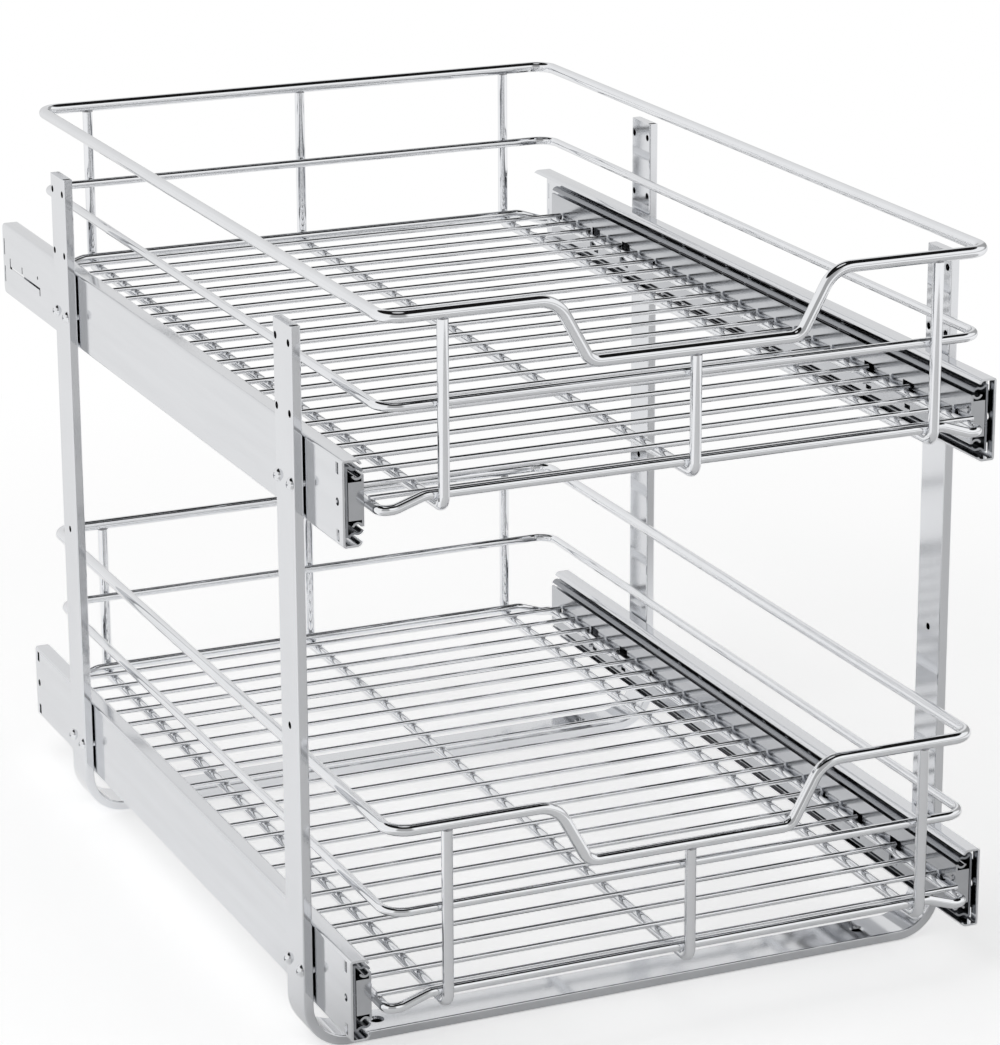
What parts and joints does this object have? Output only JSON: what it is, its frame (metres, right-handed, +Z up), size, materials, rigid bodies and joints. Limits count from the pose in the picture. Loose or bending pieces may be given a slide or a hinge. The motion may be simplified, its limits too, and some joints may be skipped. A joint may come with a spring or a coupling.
{
  "type": "pull out cabinet basket",
  "caption": "Two tier wire basket organiser whose baskets pull out of a cabinet on ball bearing slides carried by two bent tube frames.",
  "frame": {"origin": "middle of the four floor screw holes, on the cabinet floor under the floor bars", "axes": "+X to the right seen from the front, +Y back into the cabinet, +Z up; the baskets pull out along -Y"},
  "size_m": [0.3862, 0.5857, 0.4139],
  "materials": {
    "chrome_tube": "bright chrome plated steel tube",
    "chrome_sheet": "bright plated roll formed steel",
    "zinc_sheet": "zinc plated roll formed steel",
    "chrome_wire": "bright chrome plated steel wire",
    "screw_steel": "bright plated dome head screw",
    "bearing_steel": "polished bearing steel"
  },
  "bodies": {
    "stand": {"front_frame": "chrome_tube", "rear_frame": "chrome_tube", "slide_screws": "screw_steel", "lower_outer_left": "chrome_sheet", "lower_outer_right": "chrome_sheet", "upper_outer_left": "chrome_sheet", "upper_outer_right": "chrome_sheet"},
    "lower_basket": {"lower_inner_left": "chrome_sheet", "lower_inner_right": "chrome_sheet", "lower_rim": "chrome_wire", "lower_middle_ring": "chrome_wire", "lower_bottom_frame": "chrome_wire", "lower_long_wires": "chrome_wire", "lower_cross_wires": "chrome_wire"},
    "lower_intermediate_members": {"lower_intermediate_left": "zinc_sheet", "lower_intermediate_right": "zinc_sheet"},
    "lower_outer_ball_sets": {"lower_outer_retainer_left": "zinc_sheet", "lower_outer_retainer_right": "zinc_sheet", "lower_outer_balls": "bearing_steel"},
    "lower_inner_ball_sets": {"lower_inner_retainer_left": "zinc_sheet", "lower_inner_retainer_right": "zinc_sheet", "lower_inner_balls": "bearing_steel"},
    "upper_basket": {"upper_inner_left": "chrome_sheet", "upper_inner_right": "chrome_sheet", "upper_rim": "chrome_wire", "upper_middle_ring": "chrome_wire", "upper_bottom_frame": "chrome_wire", "upper_long_wires": "chrome_wire", "upper_cross_wires": "chrome_wire"},
    "upper_intermediate_members": {"upper_intermediate_left": "zinc_sheet", "upper_intermediate_right": "zinc_sheet"},
    "upper_outer_ball_sets": {"upper_outer_retainer_left": "zinc_sheet", "upper_outer_retainer_right": "zinc_sheet", "upper_outer_balls": "bearing_steel"},
    "upper_inner_ball_sets": {"upper_inner_retainer_left": "zinc_sheet", "upper_inner_retainer_right": "zinc_sheet", "upper_inner_balls": "bearing_steel"}
  },
  "joints": [
    {"name": "lower_basket_slide", "type": "slide", "parent": "stand", "child": "lower_basket", "axis": [0, -1, 0], "range_m": [0, 0.53]},
    {"name": "lower_intermediate_members_slide", "type": "slide", "parent": "stand", "child": "lower_intermediate_members", "axis": [0, -1, 0], "range_m": [0, 0.265]},
    {"name": "lower_outer_ball_sets_slide", "type": "slide", "parent": "stand", "child": "lower_outer_ball_sets", "axis": [0, -1, 0], "range_m": [0, 0.1325]},
    {"name": "lower_inner_ball_sets_slide", "type": "slide", "parent": "stand", "child": "lower_inner_ball_sets", "axis": [0, -1, 0], "range_m": [0, 0.3975]},
    {"name": "upper_basket_slide", "type": "slide", "parent": "stand", "child": "upper_basket", "axis": [0, -1, 0], "range_m": [0, 0.53]},
    {"name": "upper_intermediate_members_slide", "type": "slide", "parent": "stand", "child": "upper_intermediate_members", "axis": [0, -1, 0], "range_m": [0, 0.265]},
    {"name": "upper_outer_ball_sets_slide", "type": "slide", "parent": "stand", "child": "upper_outer_ball_sets", "axis": [0, -1, 0], "range_m": [0, 0.1325]},
    {"name": "upper_inner_ball_sets_slide", "type": "slide", "parent": "stand", "child": "upper_inner_ball_sets", "axis": [0, -1, 0], "range_m": [0, 0.3975]}
  ],
  "couplings": [
    {"joint": "lower_intermediate_members_slide", "follows": "lower_basket_slide", "ratio": 0.5},
    {"joint": "lower_outer_ball_sets_slide", "follows": "lower_basket_slide", "ratio": 0.25},
    {"joint": "lower_inner_ball_sets_slide", "follows": "lower_basket_slide", "ratio": 0.75},
    {"joint": "upper_intermediate_members_slide", "follows": "upper_basket_slide", "ratio": 0.5},
    {"joint": "upper_outer_ball_sets_slide", "follows": "upper_basket_slide", "ratio": 0.25},
    {"joint": "upper_inner_ball_sets_slide", "follows": "upper_basket_slide", "ratio": 0.75}
  ]
}
